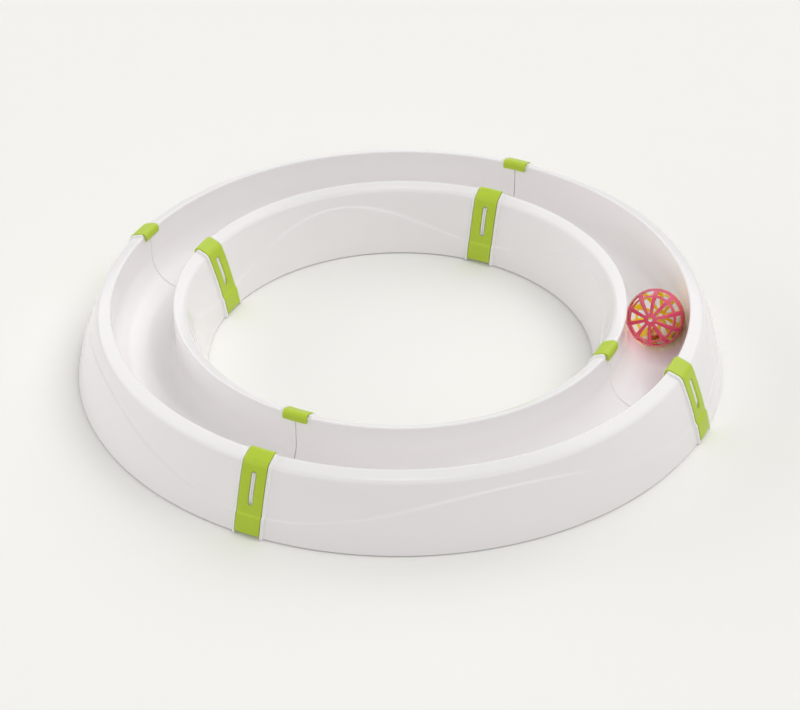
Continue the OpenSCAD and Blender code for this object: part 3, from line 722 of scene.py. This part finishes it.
def clipMesh(side):
    c = clip
    rows, slotAngle, half = clipRows(side)
    slotR = c["slotWidth"] / 2
    inner, outer = c["gap"], c["gap"] + c["thickness"]
    points, index, faces = [], {}, []

    def put(key, row, y, out):
        if key not in index:
            p = placeRow(row, out)
            radius = side["wallR"] + side["sign"] * p.x
            points.append((math.sqrt(radius * radius - y * y) * mm, y * mm, p.y * mm))
            index[key] = len(points) - 1
        return index[key]

    def spot(hand, i, j, layer):  # layer: in, out, or lip, the slot's edge below its bevel
        row, extra, slot = rows[i]
        grow = c["slotBevel"] if layer == "out" else 0.0
        openY, here, share = 0.0, row, j / c["columns"]
        if slot == "side":
            openY = slotR + grow
        elif slot:
            end, angle = slot
            way = end * (half + (slotR + grow) * math.sin(angle))
            edgeWay = end * (half + (slotR + c["slotBevel"]) * math.sin(angle))
            openY = (slotR + grow) * math.cos(angle)
            here = skirtRow(side, slotAngle - (way + (edgeWay - way) * share) / side["radius"], slotAngle)
        y = openY + (c["width"] / 2 - openY) * share
        out = {"in": inner, "out": outer + extra, "lip": outer - c["slotBevel"]}[layer]
        if openY < tiny and j == 0:
            return put((i, "middle", layer), here, 0.0, out)
        return put((i, j, hand, layer), here, hand * y, out)

    def quad(hand, *corners):
        faces.append(list(dict.fromkeys(spot(hand, *corner) for corner in corners)))

    last, columns = len(rows) - 1, c["columns"]
    for hand in (-1, 1):
        for i in range(last):
            for j in range(columns):
                for layer in ("in", "out"):
                    quad(hand, (i, j, layer), (i, j + 1, layer), (i + 1, j + 1, layer), (i + 1, j, layer))
            quad(hand, (i, columns, "in"), (i, columns, "out"),
                 (i + 1, columns, "out"), (i + 1, columns, "in"))
            if rows[i][2] and rows[i + 1][2]:
                for a, b in (("in", "lip"), ("lip", "out")):
                    quad(hand, (i, 0, a), (i, 0, b), (i + 1, 0, b), (i + 1, 0, a))
        for i in (0, last):
            for j in range(columns):
                quad(hand, (i, j, "in"), (i, j + 1, "in"), (i, j + 1, "out"), (i, j, "out"))
    mesh = meshFrom("clip", points, faces)
    tidyMesh(mesh, c["mergeAt"])
    return mesh


def makeClips():
    joints = {"right": 0, "back": 1, "left": 2, "front": 3}
    for side, label in ((outerSide, "outer"), (innerSide, "inner")):
        shape = clipMesh(side)
        for place, turns in joints.items():
            name = f"{label}_clip_{place}"
            mesh = shape.copy()
            mesh.transform(Matrix.Rotation(turns * quarter, 4, "Z"))
            mesh.materials.append(clipGreen)
            thing = showObject(f"{label}Clip_{place}", mesh)
            roundEdges(thing, clip["edge"], clip["edgeSteps"], clip["sharpFrom"])
            mesh = bakeModifiers(thing, clipGreen)
            smoothShade(mesh, clip["smoothUpTo"])
            finishPiece(thing, name, "clip_green", name)
        bpy.data.meshes.remove(shape)


makeClips()
print("clips made")

# ball: one lattice tile, repeated round the pole of each half by a Geometry Nodes tree
ball = {
    "radius": 20, "inside": 18.5, "ribs": 10, "ribHub": 1.7, "ribRim": 3.2, "hubR": 4.4, "hubHole": 1.5,
    "hoopAngle": 49.5, "hoopWidth": 1.3, "hoopEdge": 0.43,
    "lapDepth": 1.6, "lapGap": 0.06, "lapWall": 0.75, "lapClear": 0.3, "lapSteps": 96,
    "hubRows": (2.4, 3.4), "windowRows": (5.6, 7, 8.5, 10, 11.5, 13),
    "rimRows": (16.6, 17.2, 17.7, 18.1, 18.35),
    "ribColumns": 2, "windowColumns": 6, "bandSteps": 6,  # columns on each side of a rib's middle
    "poleAzimuth": -83, "poleElevation": 28, "poleTurn": 3,
    "edge": 0.22, "edgeSteps": 2, "sharpFrom": 38, "mergeAt": 0.002, "smoothUpTo": 36,
}


def latticeTile(lapDepth, lapReach):  # one rib with half a window on each side, pole along +Z
    b = ball
    radius, inside, ribColumns = b["radius"], b["inside"], b["ribColumns"]
    hoop = radius * math.sin(math.radians(b["hoopAngle"]))
    hoopIn, hoopOut = hoop - b["hoopWidth"] / 2, hoop + b["hoopWidth"] / 2
    rows = [b["hubHole"], *b["hubRows"], b["hubR"], *b["windowRows"], hoopIn, hoopIn + b["hoopEdge"],
            hoopOut - b["hoopEdge"], hoopOut, *b["rimRows"], inside]
    hubRow, hoopInRow, hoopOutRow, bandRow = (rows.index(rho) for rho in (b["hubR"], hoopIn, hoopOut, inside))
    bandTop = math.sqrt(radius * radius - inside * inside)
    outerRows = [(rho, math.sqrt(radius * radius - rho * rho)) for rho in rows]
    outerRows += [(math.sqrt(radius * radius - z * z), z) for z in spread(bandTop, 0.0, b["bandSteps"])[1:]]
    innerRows = [(rho, math.sqrt(max(inside * inside - rho * rho, 0.0))) for rho in rows]
    innerRows[-1] = (inside, lapDepth)
    innerRows[-2] = (innerRows[-2][0], max(innerRows[-2][1], lapDepth + b["lapClear"]))
    closing = [(inside, lapDepth)]  # the flat face at the equator, stepped where it takes the other half's lap
    if lapReach > inside:
        closing += [(lapReach, lapDepth), (lapReach, 0.0)]
    closing += [(radius, 0.0)]
    points, index, faces = [], {}, []

    def ribHalf(rho):
        share = (rho - b["hubHole"]) / (radius - b["hubHole"])
        return (b["ribHub"] + (b["ribRim"] - b["ribHub"]) * share) / 2

    def columnAngle(rho, column):  # columns run from one edge of the tile to the other
        at = max(rho, b["hubR"])
        edge = math.asin(ribHalf(at) / at)
        off = abs(column)
        if off <= ribColumns:
            found = math.asin(math.sin(edge) * off / ribColumns)
        else:
            found = edge + (math.pi / b["ribs"] - edge) * (off - ribColumns) / b["windowColumns"]
        return math.copysign(found, column)

    def put(key, rho, z, column):
        if key not in index:
            angle = columnAngle(min(rho, radius), column)
            points.append((rho * math.cos(angle) * mm, rho * math.sin(angle) * mm, z * mm))
            index[key] = len(points) - 1
        return index[key]

    def outer(i, column):
        return put(("outer", i, column), *outerRows[i], column)

    def inner(i, column):
        return put(("inner", i, column), *innerRows[i], column)

    def close(i, column):
        if i == 0:
            return inner(bandRow, column)
        if i == len(closing) - 1:
            return outer(len(outerRows) - 1, column)
        return put(("close", i, column), *closing[i], column)

    def solid(i, column):  # is the cell after row i, from column to column + 1, filled
        onRib = -ribColumns <= column < ribColumns
        return onRib or i < hubRow or hoopInRow <= i < hoopOutRow or i >= bandRow

    widest = ribColumns + b["windowColumns"]
    for column in range(-widest, widest):
        after = column + 1
        for i in range(len(outerRows) - 1):
            if solid(i, column):
                faces.append([outer(i, column), outer(i, after), outer(i + 1, after), outer(i + 1, column)])
                if i < bandRow:
                    faces.append([inner(i, column), inner(i + 1, column),
                                  inner(i + 1, after), inner(i, after)])
        for i in range(bandRow + 1):  # walls across the columns, where a cell is filled on one side only
            if (i > 0 and solid(i - 1, column)) != solid(i, column):
                faces.append([outer(i, column), outer(i, after), inner(i, after), inner(i, column)])
        for i in range(len(closing) - 1):
            faces.append([close(i, column), close(i, after), close(i + 1, after), close(i + 1, column)])
    for i in range(bandRow):  # walls along the ribs
        for column in (-ribColumns, ribColumns):
            if solid(i, column - 1) != solid(i, column):
                faces.append([outer(i, column), outer(i + 1, column), inner(i + 1, column), inner(i, column)])
    return meshFrom("latticeTile", points, faces)


def makeLatticeTree():
    tree, given = startTree("latticeHalf", ["Ribs", "Merge at"])
    spots = addNode(tree, "GeometryNodePoints", {"Count": given["Ribs"]})
    step = addNode(tree, "ShaderNodeMath", [2 * math.pi, given["Ribs"]], operation="DIVIDE")
    index = addNode(tree, "GeometryNodeInputIndex")
    turn = addNode(tree, "ShaderNodeMath", [index, step], operation="MULTIPLY")
    tiles = addNode(tree, "GeometryNodeInstanceOnPoints", {
        "Points": spots, "Instance": given["Geometry"],
        "Rotation": addNode(tree, "ShaderNodeCombineXYZ", {2: turn})})
    real = addNode(tree, "GeometryNodeRealizeInstances", [tiles])
    whole = addNode(tree, "GeometryNodeMergeByDistance", {"Geometry": real, "Distance": given["Merge at"]})
    painted = addNode(tree, "GeometryNodeSetMaterial", {"Geometry": whole, "Material": given["Material"]})
    addNode(tree, "NodeGroupOutput", [painted])
    return tree


def ballMatrix():
    lows, highs = zip(*(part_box(node) for node in ("ball_pink_half", "ball_yellow_half")))
    middle = (Vector(map(min, *lows)) + Vector(map(max, *highs))) / 2
    spin = (Matrix.Rotation(math.radians(ball["poleAzimuth"]), 4, "Z")
            @ Matrix.Rotation(math.radians(90 - ball["poleElevation"]), 4, "Y")
            @ Matrix.Rotation(math.radians(ball["poleTurn"]), 4, "Z"))
    return Matrix.Translation(middle) @ spin


def addLapRing(mesh):  # the thin ring on the pink half that the yellow half slides over
    depth, inR, outR = ball["lapDepth"], *(ball["inside"] + side * ball["lapWall"] / 2 for side in (-1, 1))
    outline = [(inR, depth), (inR, -depth), (outR, -depth), (outR, depth)]
    lap = meshFrom("lapRing", *latheMesh(outline, ball["lapSteps"], closed=True))
    joined = bmesh.new()
    joined.from_mesh(mesh)
    joined.from_mesh(lap)
    bmesh.ops.recalc_face_normals(joined, faces=joined.faces)
    joined.to_mesh(mesh)
    joined.free()
    bpy.data.meshes.remove(lap)


def makeBall():
    b = ball
    tree, place = makeLatticeTree(), ballMatrix()
    lapReach = b["inside"] + b["lapWall"] / 2 + b["lapGap"]
    halves = (("ball_pink_half", "pinkHalf", 0.0, 0.0, ballPink, "ball_pink", Matrix.Identity(4)),
              ("ball_yellow_half", "yellowHalf", b["lapDepth"] + b["lapGap"], lapReach, ballYellow,
               "ball_yellow", Matrix.Rotation(math.pi, 4, "X")))
    for node, name, lapDepth, reach, material, slotName, flip in halves:
        thing = showObject(name, latticeTile(lapDepth, reach))
        runTree(thing, tree, {"Ribs": float(b["ribs"]), "Merge at": b["mergeAt"] * mm, "Material": material})
        mesh = bakeModifiers(thing, material)
        tidyMesh(mesh, b["mergeAt"])
        if material == ballPink:
            addLapRing(mesh)
        roundEdges(thing, b["edge"], b["edgeSteps"], b["sharpFrom"])
        mesh = bakeModifiers(thing, material)
        mesh.transform(place @ flip)
        smoothShade(mesh, b["smoothUpTo"])
        thing.visible_shadow = False  # light falls through the thin ball, as in the photograph
        finishPiece(thing, "ball", slotName, node)


makeBall()
print("ball made")


def paintNode(node, material):
    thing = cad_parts[node]
    thing.data.materials.clear()
    thing.data.materials.append(material)


for node in ("bell_cap", "bell_cup"):
    paintNode(node, bellBrass)
paintNode("bell_pellet", pelletSteel)
print("bell painted")

# a pale floor, a white sky, softboxes that only gloss sees, and lamps that gloss doesn't see
studio = {
    "floor": "#F8F7F3", "floorBounce": "#E8E7E3", "floorHalf": 6, "sky": 0.375,
    "beltFrom": 14, "beltFull": 24, "beltLast": 56, "beltTo": 66,  # degrees above the horizon
    "capFrom": 77, "capFull": 82,
    "beltGlow": 1.6, "dimGlow": 0.5, "capGlow": 3.4,
    "lamps": {  # name: strength, width in degrees, direction towards the lamp
        "leftSoftbox": (0.85, 40, (-1.0, 0.0, 0.25)),
        "frontLeftSoftbox": (0.41, 40, (-1.0, -1.0, 0.35)),
        "backSoftbox": (0.84, 40, (0.0, 1.0, 0.78)),
        "rightSoftbox": (0.5, 40, (1.0, -1.0, 1.1)),
        "topSoftbox": (0.81, 38, (0.87, 0.52, 1.7)),
    },
}


def anyRay(tree, rays, first, *others):  # 1 for a ray of any of these kinds, 0 for the rest
    found = rays[first]
    for other in others:
        found = addNode(tree, "ShaderNodeMath", [found, rays[other]], operation="MAXIMUM")
    return found


def makeFloor():
    # Pale backdrop paper: the eye sees its own colour, and the ring gets a slightly darker bounce from it.
    reach = studio["floorHalf"]
    corners = [(-reach, -reach, 0), (reach, -reach, 0), (reach, reach, 0), (-reach, reach, 0)]
    floor = showObject("floor", meshFrom("floor", corners, [[0, 1, 2, 3]]))
    material, tree = startMaterial("paleBackdropPaper")
    rays = addNode(tree, "ShaderNodeLightPath").outputs
    seen = anyRay(tree, rays, "Is Camera Ray", "Is Glossy Ray", "Is Transmission Ray")
    paper = addNode(tree, "ShaderNodeMix", {
        0: seen, 6: linear(studio["floorBounce"]), 7: linear(studio["floor"])}, data_type="RGBA").outputs[2]
    skin = addNode(tree, "ShaderNodeBsdfDiffuse", {"Color": paper})
    addNode(tree, "ShaderNodeOutputMaterial", [skin])
    floor.data.materials.append(material)


def makeWorld():
    white = (1, 1, 1, 1)
    world = bpy.data.worlds.new("studio")
    bpy.context.scene.world = world
    world.use_nodes = True
    tree = world.node_tree
    tree.nodes.clear()
    rays = addNode(tree, "ShaderNodeLightPath").outputs
    seen = anyRay(tree, rays, "Is Camera Ray", "Is Transmission Ray")
    light = addNode(tree, "ShaderNodeBackground", {"Color": white, "Strength": studio["sky"]})
    drop = addNode(tree, "ShaderNodeBackground", {"Color": linear(studio["floor"]), "Strength": 1.0})
    plain = addNode(tree, "ShaderNodeMixShader", [seen, light, drop])
    # gloss shows a belt of softboxes and one overhead with dimmer air between, which draws the rims' lines
    way = addNode(tree, "ShaderNodeTexCoord").outputs["Generated"]
    rise = addNode(tree, "ShaderNodeSeparateXYZ", [way]).outputs["Z"]
    glows = {  # from one height to another, and the values there
        "above": ("beltFrom", "beltFull", 0.0, 1.0),
        "below": ("beltLast", "beltTo", 1.0, 0.0),
        "cap": ("capFrom", "capFull", studio["dimGlow"], studio["capGlow"]),
    }
    part = {}
    for name, (low, high, *values) in glows.items():
        heights = [math.sin(math.radians(studio[angle])) for angle in (low, high)]
        part[name] = addNode(tree, "ShaderNodeMapRange", [rise, *heights, *values],
                             interpolation_type="SMOOTHSTEP")
    inBelt = addNode(tree, "ShaderNodeMath", [part["above"], part["below"]], operation="MULTIPLY")
    belt = addNode(tree, "ShaderNodeMapRange", [inBelt, 0.0, 1.0, studio["dimGlow"], studio["beltGlow"]])
    glow = addNode(tree, "ShaderNodeMath", [belt, part["cap"]], operation="MAXIMUM")
    boxes = addNode(tree, "ShaderNodeBackground", {"Color": white, "Strength": glow})
    both = addNode(tree, "ShaderNodeMixShader", [rays["Is Glossy Ray"], plain, boxes])
    addNode(tree, "ShaderNodeOutputWorld", [both])


def makeLamps():
    for name, (strength, width, direction) in studio["lamps"].items():
        data = bpy.data.lights.new(name, "SUN")
        data.energy, data.angle = strength, math.radians(width)
        lamp = showObject(name, data)
        lamp.rotation_euler = Vector(direction).to_track_quat("Z", "Y").to_euler()
        lamp.visible_glossy = False


makeFloor()
makeWorld()
makeLamps()
bpy.context.scene.view_settings.view_transform = "Standard"
print("studio lit")
